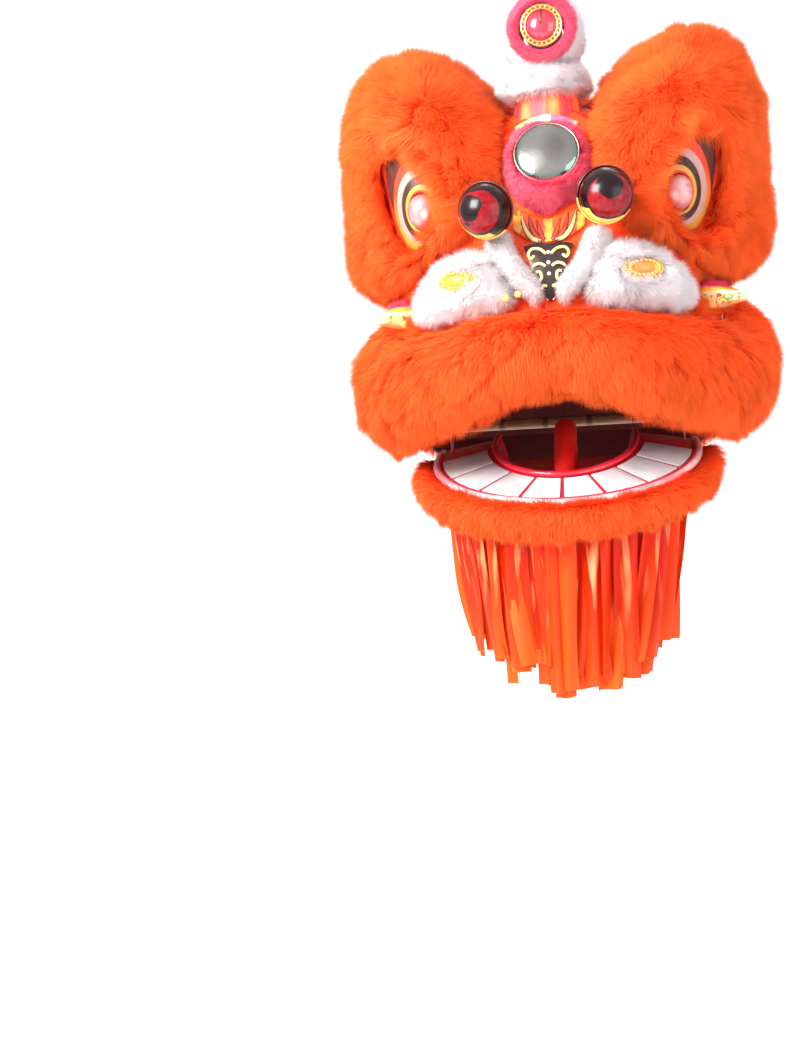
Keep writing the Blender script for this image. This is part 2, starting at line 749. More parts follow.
cheekPile = {
    "length": 0.026, "width": 0.0014, "uneven": 0.35,
    "perTuft": 300, "tuftTurn": 0.05, "tuftLong": 0.07, "pull": 0.10,
    "lift": 0.6, "bend": 0.3, "droop": 0.35, "sway": 0.14, "scatter": 0.22, "soft": 0.90,
}
cheekLook = {
    "cell": 0.005, "rounds": 5, "sink": 0.004, "skin": whiteSkin, "fur": whiteFur, "hairs": 33000, "pile": cheekPile,
}
stripeLook = dict(cheekLook, cell=0.004, sink=0.002, hairs=12000, pile=dict(cheekPile, length=0.017), comb=downward)
padPile = dict(cheekPile, length=0.015, perTuft=200, droop=0.2, width=0.0012)
padLook = dict(
    cheekLook, skin=pinkSkin, fur=pinkFur, sink=0.003, hairs=21000, pile=padPile,
    comb=combed((0.0, -0.19, 0.440), 1.0, (0.0, 0.0, -0.2)),
)
padTop = {"above": 0.482, "longer": 0.45}  # short hair under the painted arch

horn = {
    "centre": (0.0, -0.095, 0.638), "axis": (0.0, -1.0, 0.06), "face": 0.0424, "foot": (0.0, -0.085, 0.0),
    "disc": (
        (0.0, 0.0), (0.0335, 0.0), (0.0335, 0.005), (0.024, 0.006), (0.0225, 0.008), (0.019, 0.012),
        (0.012, 0.0150), (0.005, 0.0160), (0.0, 0.0162),
    ),
    "rings": ((0.0320, 0.0058, 0.0020), (0.0262, 0.0068, 0.0016)),
    "beads": {"count": 24, "ring": 0.0291, "height": 0.0062, "radius": 0.0022},
    "seam": ((0.0, 0.0165), (0.008, 0.0160), (0.014, 0.0148), (0.019, 0.0128), (0.023, 0.0095)),
}
hornCentre = np.array(horn["centre"])
hornAxis = np.array(horn["axis"]) / math.hypot(*horn["axis"])


def roundHorn(points):
    # straight out from the horn's axis to each point
    away = points - hornCentre
    return away - hornAxis * (away @ hornAxis)[:, None]


def hornComb(roots, ups):
    return unit(roundHorn(roots)) * 0.8 + np.array((0.0, 0.1, -0.45))


def hornKeep(centres, normals):
    return (alignment(normals, roundHorn(centres)) > -0.2).astype(float)


hornPile = dict(cheekPile, length=0.018, lift=0.65, droop=0.25)
hornLook = dict(cheekLook, cell=0.007, sink=0.006, hairs=20000, pile=hornPile, comb=hornComb)
collarLook = dict(
    hornLook, cell=0.006, sink=0.003, hairs=15000, pile=dict(hornPile, length=0.020),
    comb=combed(horn["foot"], 1.0, (0.0, 0.0, -0.3), flatWise),
)
collarKeep = facingFrom(horn["foot"], -0.3, flatWise)
discLook = dict(padLook, hairs=10000, pile=dict(padPile, length=0.012), cell=0.004, sink=0.001, comb=hornComb)


def cheekComb(side):
    return combed((0.140 * side, -0.255, 0.234), 0.8, (0.35 * side, -0.1, -0.7))


def padLonger(roots):
    return np.where(roots[:, 2] > padTop["above"], padTop["longer"], 1.0)


def makeFur():
    for side, word in halves:
        look = dict(browLook, comb=browComb(side))
        skin = dress("face_fur_" + word, look, 11 + side, browKeep(side), browLonger(side))
        growLid(skin, side, word)
    dress("upper_lip_fur", lipLook, 31)
    dress("back_fur", backLook, 41)
    dress("chin_fur", chinLook, 51, chinKeep)
    for side, word in halves:
        dress("cheek_fur_" + word, dict(cheekLook, comb=cheekComb(side)), 61 + side)
        dress("white_stripe_" + word, stripeLook, 71 + side)
    dress("mirror_fur_pad", padLook, 81, longerOf=padLonger)
    dress("horn_fur", hornLook, 91, hornKeep)
    dress("horn_collar", collarLook, 93, collarKeep)
    dress("horn_pink_fur", discLook, 95, hornKeep)
    print("fur done")


formFur = {
    "tried": 280000, "most": 50000, "apart": 0.0045,  # no hair where another piece lies this near
    "frontWeight": 5.0, "notchWeight": 9.0, "notchLonger": 1.7, "trimLonger": 0.55,
    "pile": dict(browPile, length=0.020, perTuft=300, lift=0.5, droop=0.4, width=0.0019),
}


def within(rows, x=(-9.0, 9.0), y=(-9.0, 9.0), z=(-9.0, 9.0)):
    # which rows lie in a box of the head, the same on its left and right
    inside = np.ones(len(rows), bool)
    for values, (low, high) in ((np.abs(rows[:, 0]), x), (rows[:, 1], y), (rows[:, 2], z)):
        inside &= (values > low) & (values < high)
    return inside


def makeFormFur():
    # short fur wherever the form would be bare between its pieces
    def mostInFront(centres, normals):
        front = within(centres, y=(-9.0, 0.0), z=(-9.0, 0.27))
        notch = within(centres, x=(0.19, 9.0), y=(-9.0, 0.04), z=(0.11, 0.24))
        weights = np.where(notch, formFur["notchWeight"], np.where(front, formFur["frontWeight"], 1.0))
        return outside(centres, normals) * weights

    roots, ups = sampled(nodes["head_shell"].data, formFur["tried"], np.random.default_rng(101), mostInFront)
    others = surfaceOf(*[name for name in nodes if name != "head_shell" and bodyOf[name] == "head"])
    bare = alignment(ups, roots - headMiddle) > 0.2
    bare &= roots[:, 2] > 0.075 - 0.40 * (roots[:, 1] + 0.31)  # above the open rim
    bare &= ~within(roots, x=(-1.0, 0.010), y=(-9.0, -0.2), z=(-9.0, 0.30))  # in front of the nose's tip
    free = [
        k for k in np.flatnonzero(bare)
        if others.find_nearest(Vector(roots[k] + ups[k] * 0.004), formFur["apart"])[0] is None
    ][: formFur["most"]]
    roots, ups = roots[free], ups[free]
    trim = within(roots, x=(-1.0, 0.075), y=(-9.0, -0.15))
    trim |= within(roots, x=(-1.0, 0.19), y=(-9.0, 0.02), z=(0.15, 0.24))
    flow = downward(roots, ups) + np.outer(np.sign(roots[:, 0]) * 0.5, (1.0, 0.0, 0.0))
    # behind the side bands the hair stands out far enough to close the notch over the lip
    notch = within(roots, x=(0.20, 9.0), y=(-0.2, 0.03), z=(0.12, 0.19))
    flow = np.where(notch[:, None], ups * 2.0 + np.array((0.0, -0.3, 0.1)), flow)
    longer = np.where(notch, formFur["notchLonger"], np.where(trim, formFur["trimLonger"], 1.0))
    onHead(growFur("form_pile", roots, ups, flow, formFur["pile"], orangeFur, 103, longer))


def paperMaterial():
    # painted papier-mache with a grain of torn paper: orange-red on its outer side, maroon inside
    material, shader = startMaterial("formPaint")
    where = place(material)
    fibres = noise(material, where, 90.0, 6.0, 0.7, 0.6)
    broad = noise(material, where, 12.0, 3.0)
    inside = ramp(material, broad, [(0.3, (0.045, 0.003, 0.004)), (0.7, (0.095, 0.007, 0.007))])
    inside = mixColour(material, maths(material, "MULTIPLY", fibres, 0.35), inside, (0.16, 0.02, 0.014))
    away = vectorMaths(material, "NORMALIZE", vectorMaths(material, "SUBTRACT", where, tuple(furCentre)))
    facingOut = vectorMaths(material, "DOT_PRODUCT", away, addNode(material, "TexCoord").outputs["Normal"])
    cover = ramp(material, broad, [(0.3, (0.74, 0.026, 0.002)), (0.7, (0.96, 0.075, 0.004))])
    flaked = mixColour(material, maths(material, "GREATER_THAN", facingOut, 0.25), inside, cover)
    feed(material, shader, {"Base Color": flaked, "Roughness": 0.68, "Normal": bump(material, fibres, 0.5, 0.002)})
    return material


def glossMaterial(name, low, high, roughness=0.25, scale=18.0, coat=0.6, grain=0.0006):
    # brushed enamel: a slight drift of tone, fine brush marks and a clear coat
    material, shader = startMaterial(name)
    where = place(material)
    drift = noise(material, where, scale, 3.0)
    marks = noise(material, moved(material, where, scale=(1.0, 1.0, 0.25)), 160.0, 2.0)
    colour = ramp(material, drift, [(0.3, low), (0.7, high)])
    rough = mapped(material, marks, end=(roughness * 0.8, roughness * 1.3))
    feed(material, shader, {"Base Color": colour, "Coat Weight": coat, "Coat Roughness": 0.12})
    feed(material, shader, {"Roughness": rough, "Normal": bump(material, marks, 0.25, grain)})
    return material


def metalMaterial(name, colour, roughness, grain=0.2):
    material, shader = startMaterial(name)
    marks = noise(material, place(material), 220.0, 3.0)
    rough = mapped(material, marks, end=(roughness * 0.7, roughness * 1.4))
    feed(material, shader, {"Base Color": rgba(colour), "Metallic": 1.0, "Roughness": rough})
    feed(material, shader, {"Normal": bump(material, marks, grain, 0.0003)})
    return material


# nested ovals of the painted eye: centre x and z, half width and height, colour
eyeRings = {
    "outerBand": ((0.2030, 0.3680), (0.0510, 0.0860), None),
    "pearlBand": ((0.2040, 0.3685), (0.0435, 0.0615), (0.42, 0.26, 0.25)),
    "innerLine": ((0.2030, 0.3650), (0.0355, 0.0515), (0.007, 0.002, 0.002)),
    "yellowBand": ((0.2030, 0.3630), (0.0283, 0.0385), (0.52, 0.27, 0.035)),
    "rosyField": ((0.2037, 0.3610), (0.0225, 0.0320), (0.60, 0.05, 0.04)),
}
eyeball = {
    "place": (0.2037, -0.1931, 0.3585), "axis": (0.421, -0.9021, -0.0949), "radii": (0.0236, 0.0276), "stands": 0.018,
    "foot": 0.003, "rings": 10,
}


def eyeMaterial():
    material, shader = startMaterial("eyePaint")
    where = place(material)
    wobble = noise(material, where, 30.0, 2.0)
    picture = onlyXZ(material)
    height = maths(material, "MULTIPLY_ADD", wobble, 0.02, axes(material, where)[2])
    upper = mapped(material, height, (0.345, 0.405))
    glowing = mixColour(material, upper, (0.52, 0.25, 0.02), (0.60, 0.035, 0.008))
    colour = (0.035, 0.004, 0.005)
    for centre, radii, tone in eyeRings.values():
        colour = mixColour(material, spot(material, picture, centre, radii, 0.015), colour, tone or glowing)
    streak = noise(material, moved(material, where, scale=(1, 1, 0.15)), 300.0, 2.0)
    aged = mixColour(material, maths(material, "MULTIPLY", streak, 0.18), colour, (0.45, 0.20, 0.14))
    feed(material, shader, {"Base Color": aged, "Roughness": 0.5, "Specular IOR Level": 0.2})
    feed(material, shader, {"Coat Weight": 0.06, "Coat Roughness": 0.2, "Normal": bump(material, streak, 0.2, 0.0004)})
    return material


def pearlMaterial():
    # the eyeball: pinkish white gloss with a rosy blush low on its front
    material, shader = startMaterial("eyePearl")
    picture = onlyXZ(material)
    swirl = noise(material, place(material), 60.0, 3.0, 0.6, 1.2)
    colour = ramp(material, swirl, [(0.35, (0.36, 0.17, 0.17)), (0.65, (0.50, 0.32, 0.32))])
    blush = spot(material, picture, (0.197, 0.355), (0.014, 0.017), 0.5)
    colour = mixColour(material, maths(material, "MULTIPLY", blush, 0.7), colour, (0.66, 0.18, 0.20))
    gleam = spot(material, picture, (0.195, 0.352), (0.006, 0.007), 0.6)
    colour = mixColour(material, gleam, colour, (0.80, 0.56, 0.50))
    front = spot(material, picture, (eyeball["place"][0], eyeball["place"][2]), (0.0195, 0.0255), 0.3)
    colour = mixColour(material, front, (0.62, 0.05, 0.04), colour)
    feed(material, shader, {"Base Color": colour, "Roughness": 0.25, "Coat Weight": 0.15, "Coat Roughness": 0.1})
    feed(material, shader, {"Normal": bump(material, swirl, 0.06, 0.0005)})
    return material


def makeEyes():
    paint, pearl = eyeMaterial(), pearlMaterial()
    rings = eyeball["rings"]
    steps = [math.pi / 2 * k / rings for k in range(rings)]
    profile = [(0.0, -eyeball["foot"]), (1.0, -eyeball["foot"])]
    profile += [(math.cos(a), eyeball["stands"] * math.sin(a)) for a in steps] + [(0.0, eyeball["stands"])]
    for side, word in halves:
        node = "eye_plate_" + word
        standIn(smoothed(node, 0.0035, 14, "painted_eye_" + word, paint, 0.0004), node)
        matrix = facing(flipped(eyeball["place"], side), flipped(eyeball["axis"], side))
        dome = addPiece("eye_pearl_" + word, turned(profile, matrix, 40, eyeball["radii"]), pearl)
        standIn(dome, "eye_ball_" + word)


mirror = {
    "place": (0.0, -0.1859, 0.4355), "axis": (0.0, -0.9185, 0.3955), "radius": 0.052, "crown": 0.0135,
    "rim": {"wire": 0.0011, "height": 0.0042},
}


def mirrorMaterial():
    # silvered dome: greenish towards its rim, with a dull worn patch and a bright one
    material, shader = startMaterial("mirrorSilver")
    where = place(material)
    ripple = noise(material, where, 26.0, 2.0, 0.5, 0.8)
    specks = noise(material, where, 420.0, 2.0)
    picture = onlyXZ(material, mirrored=False)
    middle = spot(material, picture, (0.0, 0.4395), (0.043, 0.040), 0.12)
    tinted = mixColour(material, middle, (0.12, 0.30, 0.24), (0.40, 0.38, 0.36))
    worn = spot(material, picture, (0.018, 0.448), (0.020, 0.022), 0.6)
    tinted = mixColour(material, maths(material, "MULTIPLY", worn, 0.75), tinted, (0.19, 0.17, 0.15))
    bright = spot(material, picture, (-0.022, 0.424), (0.014, 0.013), 0.7)
    tinted = mixColour(material, bright, tinted, (0.88, 0.86, 0.84))
    cloudy = mixColour(material, maths(material, "MULTIPLY", ripple, 0.5), tinted, (0.30, 0.28, 0.26))
    rough = mapped(material, specks, end=(0.06, 0.22))
    feed(material, shader, {"Base Color": cloudy, "Metallic": 1.0, "Roughness": rough})
    feed(material, shader, {"Normal": bump(material, ripple, 0.35, 0.004)})
    return material


def makeMirror():
    radius, crown = mirror["radius"], mirror["crown"]
    matrix = facing(mirror["place"], mirror["axis"])
    rows = [(0.0, 0.001), (radius - 0.0005, 0.001), (radius - 0.0005, 0.0035)]
    for angle in [math.radians(8 + 82 * k / 8) for k in range(8)]:
        rows.append(((radius - 0.001) * math.cos(angle), 0.0030 + crown * math.sin(angle)))
    rows.append((0.0, 0.0030 + crown))
    standIn(addPiece("mirror_dome", turned(rows, matrix, 64), mirrorMaterial(), sharp=50), "forehead_mirror")
    ring = circle(matrix, radius - 0.001, mirror["rim"]["height"], 64)
    silver = metalMaterial("mirrorRim", (0.42, 0.55, 0.48), 0.3)
    standIn(addPiece("mirror_rim", wire(ring, mirror["rim"]["wire"], True), silver), "forehead_mirror")


# the balls differ a little in height, gaze and in which way their yellow crescents lie
ball = {
    "place": (0.093, -0.298, 0.351), "uneven": 0.005, "axis": (0.25, -1.0, -0.15), "radius": 0.0415,
    "gaze": {"left": (-0.10, 0.0, 0.42), "right": (-0.30, 0.0, 0.22)},
    "low": {"left": (-0.25, 0.0, -0.9), "right": (-0.5, 0.0, -0.9)},
    "cup": {"apart": 0.0006, "wall": 0.003, "reach": 84, "lip": 86.5, "steps": 12},
}
spring = {"radius": 0.0105, "wire": 0.0014, "turns": 6.5, "steps": 16}


def ballMaterial(word, centre, axis, gaze, low):
    # red foil under clear lacquer: a black pupil, black brush marks and a wide black ring
    material, shader = startMaterial("ballFoil" + word)
    shifted = vectorMaths(material, "SUBTRACT", place(material), tuple(centre))
    crackle = noise(material, shifted, 130.0, 4.0, 0.6, 0.4)
    wobble = maths(material, "MULTIPLY_ADD", noise(material, shifted, 30.0, 1.0), 0.24, -0.12)

    def shareAlong(direction):
        height = vectorMaths(material, "DOT_PRODUCT", shifted, tuple(direction))
        return maths(material, "ADD", maths(material, "DIVIDE", height, ball["radius"]), wobble)

    foil = ramp(material, crackle, [(0.35, (0.11, 0.0008, 0.004)), (0.62, (0.26, 0.0014, 0.008))])
    strokes = noise(material, moved(material, shifted, scale=(1.0, 1.0, 2.4)), 26.0, 2.0, 0.5, 1.4)
    ink = (0.006, 0.001, 0.002)
    colour = mixColour(material, maths(material, "GREATER_THAN", strokes, 0.68), foil, ink)
    toEye = shareAlong(gaze)
    colour = mixColour(material, maths(material, "GREATER_THAN", toEye, 0.86), colour, ink)
    toFront = shareAlong(axis)
    colour = mixColour(material, maths(material, "LESS_THAN", toFront, 0.60), colour, ink)
    colour = mixColour(material, maths(material, "LESS_THAN", toFront, 0.10), colour, (0.10, 0.002, 0.004))
    behind = maths(material, "LESS_THAN", toFront, 0.50)
    crescent = maths(material, "MULTIPLY", maths(material, "GREATER_THAN", shareAlong(low), 0.62), behind)
    colour = mixColour(material, crescent, colour, (0.80, 0.52, 0.08))
    feed(material, shader, {"Base Color": colour, "Roughness": 0.28, "Coat Weight": 0.12, "Coat Roughness": 0.03})
    feed(material, shader, {"Specular IOR Level": 0.25, "Normal": bump(material, crackle, 0.08, 0.0004)})
    return material


def cupMaterial(word, centre, low):
    # black enamel with a yellow crescent along its lower edge
    material, shader = startMaterial("cupEnamel" + word)
    where = place(material)
    depth = vectorMaths(material, "DOT_PRODUCT", vectorMaths(material, "SUBTRACT", where, tuple(centre)), tuple(low))
    brushed = noise(material, where, 60.0, 3.0)
    depth = maths(material, "MULTIPLY_ADD", brushed, 0.010, depth)
    yellow = ramp(material, brushed, [(0.3, (0.74, 0.42, 0.03)), (0.7, (0.90, 0.72, 0.28))])
    edge = maths(material, "GREATER_THAN", depth, 0.018)
    colour = mixColour(material, edge, (0.030, 0.008, 0.006), yellow)
    feed(material, shader, {"Base Color": colour, "Roughness": 0.32, "Coat Weight": 0.2, "Coat Roughness": 0.1})
    feed(material, shader, {"Normal": bump(material, brushed, 0.2, 0.0005)})
    return material


def springEnds(node, top):
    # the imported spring's axis, from its wire's own points
    points = np.array([tuple(v.co) for v in nodes[node].data.vertices])
    middle = points.mean(axis=0)
    axis = unit(np.array([tuple(top)]) - middle)[0]
    along = (points - middle) @ axis
    foot = middle + axis * (along.min() + spring["wire"] * 2)
    return Vector(foot), Vector(middle + axis * (along.max() - spring["wire"] * 2))


def cupProfile():
    # the inner wall from its axis to the lip, and the outer wall back to the axis
    cup = ball["cup"]
    inner = ball["radius"] + cup["apart"]
    outer = inner + cup["wall"]
    angles = [math.radians(cup["reach"] * k / cup["steps"]) for k in range(cup["steps"] + 1)]
    rows = [(inner * math.sin(a), -inner * math.cos(a)) for a in angles]
    rows += [((inner + outer) / 2, -(inner + outer) / 2 * math.cos(math.radians(cup["lip"])))]
    return rows + [(outer * math.sin(a), -outer * math.cos(a)) for a in reversed(angles)]


def coilPoints(foot, top):
    coil = facing(foot, top - foot)
    count = int(spring["turns"] * spring["steps"])
    points = []
    for k in range(count + 1):
        angle = math.tau * k / spring["steps"]
        across = Vector((math.cos(angle), math.sin(angle), 0)) * spring["radius"]
        points.append(coil @ (across + Vector((0, 0, (top - foot).length * k / count))))
    return points


def makeBalls():
    steel = metalMaterial("springSteel", (0.72, 0.72, 0.70), 0.25)
    for side, word in halves:
        centre = flipped(ball["place"], side) + Vector((0, 0, ball["uneven"] * side))
        axis = flipped(ball["axis"], side).normalized()
        gaze = (axis + Vector(ball["gaze"][word])).normalized()
        low = Vector(ball["low"][word]).normalized()
        matrix = facing(centre, axis)
        foil = ballMaterial(word.title(), centre, axis, gaze, low)
        gloss = makeBead(ball["radius"], matrix, segments=(48, 32))
        standIn(addPiece("gloss_ball_" + word, gloss, foil), "ball_" + word)
        enamel = cupMaterial(word.title(), centre, low)
        standIn(addPiece("gilt_cup_" + word, turned(cupProfile(), matrix, 48), enamel), "ball_cup_" + word)
        coil = wire(coilPoints(*springEnds("spring_" + word, centre)), spring["wire"])
        standIn(addPiece("coil_" + word, coil, steel), "spring_" + word)


# the jaw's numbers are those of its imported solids
jaw = {
    "open": 17.0, "middleY": -0.10, "outer": (0.218, 0.198), "inner": (0.112, 0.146), "outerZ": -0.037,
    "innerZ": -0.014, "reach": 104.0, "hinge": (0.0, -0.040, 0.020), "rim": 0.0062, "lip": 0.0055, "line": 0.0026,
    "paintedFrom": (-0.052, -0.046), "darkFrom": (-0.006, 0.0),
}


def jawPoint(angle, share, lift=0.0, out=0.0):
    # a point of the jaw's sloping band: share is 0 at its inner edge and 1 at its outer edge
    turn = math.radians(angle)
    wide, deep = (jaw["inner"][n] + (jaw["outer"][n] - jaw["inner"][n]) * share for n in (0, 1))
    z = jaw["innerZ"] + (jaw["outerZ"] - jaw["innerZ"]) * share
    flat = Vector((wide * math.sin(turn), jaw["middleY"] - deep * math.cos(turn), z + lift))
    square = Vector((deep * math.sin(turn), -wide * math.cos(turn), 0.0)).normalized()
    hinge = Vector(jaw["hinge"])
    return hinge + Matrix.Rotation(math.radians(jaw["open"]), 3, "X") @ (flat + square * out - hinge)


def toothMaterial():
    material, shader = startMaterial("toothEnamel")
    where = place(material)
    drift = noise(material, where, 24.0, 3.0)
    lines = noise(material, moved(material, where, scale=(1, 0.3, 1)), 220.0, 2.0)
    colour = ramp(material, drift, [(0.3, (0.52, 0.49, 0.51)), (0.7, (0.66, 0.63, 0.65))])
    feed(material, shader, {"Base Color": colour, "Roughness": 0.38, "Coat Weight": 0.3, "Coat Roughness": 0.2})
    feed(material, shader, {"Normal": bump(material, lines, 0.25, 0.0005)})
    return material


def jawMaterial():
    # dark underside, crimson above, and dark again up in the jaw's ends
    material, shader = startMaterial("jawPaint")
    where = place(material)
    height = axes(material, moved(material, where, turn=(math.radians(-jaw["open"]), 0, 0)))[2]
    grain = noise(material, where, 80.0, 4.0)
    deep = ramp(material, grain, [(0.3, (0.075, 0.003, 0.006)), (0.7, (0.15, 0.008, 0.014))])
    red = ramp(material, grain, [(0.3, (0.55, 0.008, 0.025)), (0.7, (0.72, 0.02, 0.05))])
    painted = mixColour(material, mapped(material, height, jaw["paintedFrom"]), deep, red)
    painted = mixColour(material, mapped(material, height, jaw["darkFrom"]), painted, (0.05, 0.003, 0.005))
    feed(material, shader, {"Base Color": painted, "Roughness": 0.4})
    feed(material, shader, {"Coat Weight": 0.3, "Coat Roughness": 0.2, "Normal": bump(material, grain, 0.2, 0.0006)})
    return material


def pipingMaterial():
    material, shader = startMaterial("rimPiping")
    weave = noise(material, place(material), 500.0, 2.0)
    tone = noise(material, place(material), 16.0, 2.0)
    blush = ramp(material, tone, [(0.35, (0.86, 0.26, 0.32)), (0.6, (0.92, 0.66, 0.68))])
    feed(material, shader, {"Base Color": blush, "Roughness": 0.5, "Normal": bump(material, weave, 0.4, 0.0006)})
    feed(material, shader, {"Sheen Weight": 0.3, "Sheen Roughness": 0.4})
    return material


def makeJaw():
    enamel = toothMaterial()
    for k in range(1, 9):
        standIn(rounded(f"tooth_{k}", f"enamel_tooth_{k}", enamel, 0.0016), f"tooth_{k}")
    repaint("jaw_tray", jawMaterial())
    crimson = glossMaterial("jawCrimson", (0.52, 0.006, 0.022), (0.78, 0.02, 0.05), 0.3)
    angles = [-jaw["reach"] + 2 * jaw["reach"] * k / 96 for k in range(97)]
    rim = wire([jawPoint(a, 1.0, -0.0015) for a in angles], jaw["rim"], around=12)
    standIn(addPiece("rim_piping", rim, pipingMaterial()), "jaw_rim")
    line = wire([jawPoint(a, 0.945, 0.002) for a in angles[3:-3]], jaw["line"])
    standIn(addPiece("gum_line", line, crimson), "jaw_rim")
    roll = wire([jawPoint(a, 0.05, 0.0045) for a in angles], jaw["lip"], around=12)
    standIn(addPiece("gum_roll", roll, crimson), "inner_lip")
    red = glossMaterial("tongueRed", (0.95, 0.010, 0.012), (1.0, 0.035, 0.025), 0.4, 30.0, 0.1)
    standIn(rounded("tongue", "red_tongue", red, 0.003, 40.0), "tongue")


beard = {
    "ribbons": (17, 15, 13), "reach": 90.0, "uneven": 3.0, "width": (0.031, 0.054), "rows": 22, "columns": 9,
    "length": 0.315, "share": (0.84, 1.03), "shorterAside": 0.12, "narrowing": 0.20, "middleY": -0.16,
    "top": (-0.010, -0.016), "apart": 0.011, "sway": 0.016, "curl": (0.5, 1.2), "tail": 0.35,
}
satinTones = [
    (0.0, (0.60, 0.012, 0.001)), (0.55, (0.80, 0.036, 0.002)), (0.85, (0.86, 0.075, 0.005)), (1.0, (0.92, 0.20, 0.04)),
]


def ribbonMaterial():
    # satin: a soft sheen across the ribbon, fine threads along it, and light that comes through
    material, shader = startMaterial("satinRibbon")
    along = attribute(material, "along")
    where = place(material)
    threads = noise(material, moved(material, where, scale=(1, 1, 0.04)), 900.0, 2.0)
    streaks = noise(material, moved(material, where, scale=(1, 1, 0.12)), 55.0, 2.0, 0.4, 0.5)
    colour = ramp(material, attribute(material, "shade"), satinTones)
    fromMiddle = maths(material, "ABSOLUTE", maths(material, "MULTIPLY_ADD", along, 2.4, -0.85))
    middle = maths(material, "MAXIMUM", maths(material, "SUBTRACT", 1.0, fromMiddle), 0.0)
    gleam = maths(material, "MULTIPLY", mapped(material, streaks, (0.58, 0.74)), middle)
    lit = mixColour(material, gleam, colour, (1.0, 0.48, 0.20))
    low = maths(material, "MULTIPLY", maths(material, "POWER", along, 3.0), 0.55)
    ends = mixColour(material, low, lit, (0.66, 0.10, 0.008))
    feed(material, shader, {"Base Color": ends, "Roughness": 0.42, "Specular IOR Level": 0.2})
    feed(material, shader, {"Normal": bump(material, threads, 0.3, 0.0004)})
    letThrough(material, shader, ends, 0.22)
    return material


def hangRibbon(whole, layer, angle, wide, long, rng):
    # one ribbon from the chin down: curled across, twisted and swaying a little
    top = jawPoint(angle, 1.0, beard["top"][0], beard["top"][1] - beard["apart"] * layer)
    turn = math.radians(angle)
    out = Vector((math.sin(turn), -math.cos(turn), 0))
    aside = Vector((-out.y, out.x, 0))
    sway = rng.uniform(-beard["sway"], beard["sway"])
    phase, curl = rng.uniform(0, math.tau), rng.uniform(*beard["curl"])
    tail = rng.uniform(-beard["tail"], beard["tail"])
    shade = rng.random() ** 1.4
    shadeLayer, alongLayer = (whole.verts.layers.float[key] for key in ("shade", "along"))
    grid = bmesh.ops.create_grid(whole, x_segments=beard["columns"], y_segments=beard["rows"], size=0.5)
    for vert in grid["verts"]:
        u, v = vert.co.x * 2, 0.5 - vert.co.y
        narrow = 1 - beard["narrowing"] * v
        hanging = min(1.0, 4.0 * v)
        fold = math.sin(u * 3.4 + phase + v * 2.6) * 0.0075 * curl * hanging
        fold += math.sin(u * 1.5 - phase) * 0.0040 * hanging
        twist = math.sin(v * 3.6 + phase) * 0.55 * curl * v
        across = aside * math.cos(twist) + out * math.sin(twist)
        y = beard["middleY"] + (top.y - beard["middleY"]) * narrow
        point = Vector((top.x * narrow, y, top.z - long * v * (1 + tail * u * 0.03 * v)))
        point += across * (u * wide / 2 * (1 - 0.10 * v + 0.08 * math.cos(phase + 6 * v)))
        point += out * (fold + 0.005 * math.sin(3.5 * v + phase) * v) + aside * sway * v * v
        vert[shadeLayer] = shade
        vert[alongLayer] = v
        vert.co = point


def makeBeard():
    rng = np.random.default_rng(5)
    satin = ribbonMaterial()
    for layer, count in enumerate(beard["ribbons"]):
        whole = bmesh.new()
        for key in ("shade", "along"):
            whole.verts.layers.float.new(key)
        for n in range(count):
            angle = beard["reach"] * (2 * (n + 0.5) / count - 1) + rng.uniform(-beard["uneven"], beard["uneven"])
            wide = rng.uniform(*beard["width"])
            shorter = 1 - beard["shorterAside"] * (abs(angle) / 90) ** 2
            long = beard["length"] * rng.uniform(*beard["share"]) * shorter
            hangRibbon(whole, layer, angle, wide, long, rng)
        bmesh.ops.recalc_face_normals(whole, faces=whole.faces[:])
        piece = standIn(addPiece(f"ribbons_{layer + 1}", whole, satin), "beard")


# stripes of the side bands, from the lower edge up, and blocks of the arch, from the viewer's left
bandStripes = [
    (0.0, (0.85, 0.42, 0.05)), (0.12, (0.90, 0.72, 0.30)), (0.55, (0.92, 0.80, 0.48)), (0.70, (0.90, 0.50, 0.04)),
    (0.82, (0.90, 0.30, 0.30)),
]
archBlocks = [
    (0.0, (0.86, 0.50, 0.16)), (0.2, (0.62, 0.46, 0.34)), (0.42, (0.80, 0.62, 0.36)), (0.56, (0.22, 0.05, 0.30)),
    (0.78, (0.20, 0.16, 0.30)), (0.86, (0.30, 0.40, 0.18)),
]


def bandMaterial():
    # the side band: cream and yellow with pink piping above, and green leaves and red dots below
    material, shader = startMaterial("sideBandPaint")
    where = place(material)
    height = mapped(material, axes(material, where)[2], (0.170, 0.217))
    stripes = ramp(material, height, bandStripes, "CONSTANT")
    leaf = noise(material, where, 75.0, 1.0, 0.4, 1.0)
    low = maths(material, "LESS_THAN", height, 0.6)
    green = maths(material, "MULTIPLY", maths(material, "GREATER_THAN", leaf, 0.60), low)
    painted = mixColour(material, green, stripes, (0.16, 0.42, 0.06))
    redDots = maths(material, "MULTIPLY", maths(material, "LESS_THAN", leaf, 0.36), low)
    painted = mixColour(material, redDots, painted, (0.80, 0.08, 0.03))
    feed(material, shader, {"Base Color": painted, "Roughness": 0.35, "Coat Weight": 0.5})
    feed(material, shader, {"Normal": bump(material, leaf, 0.3, 0.001)})
    return material


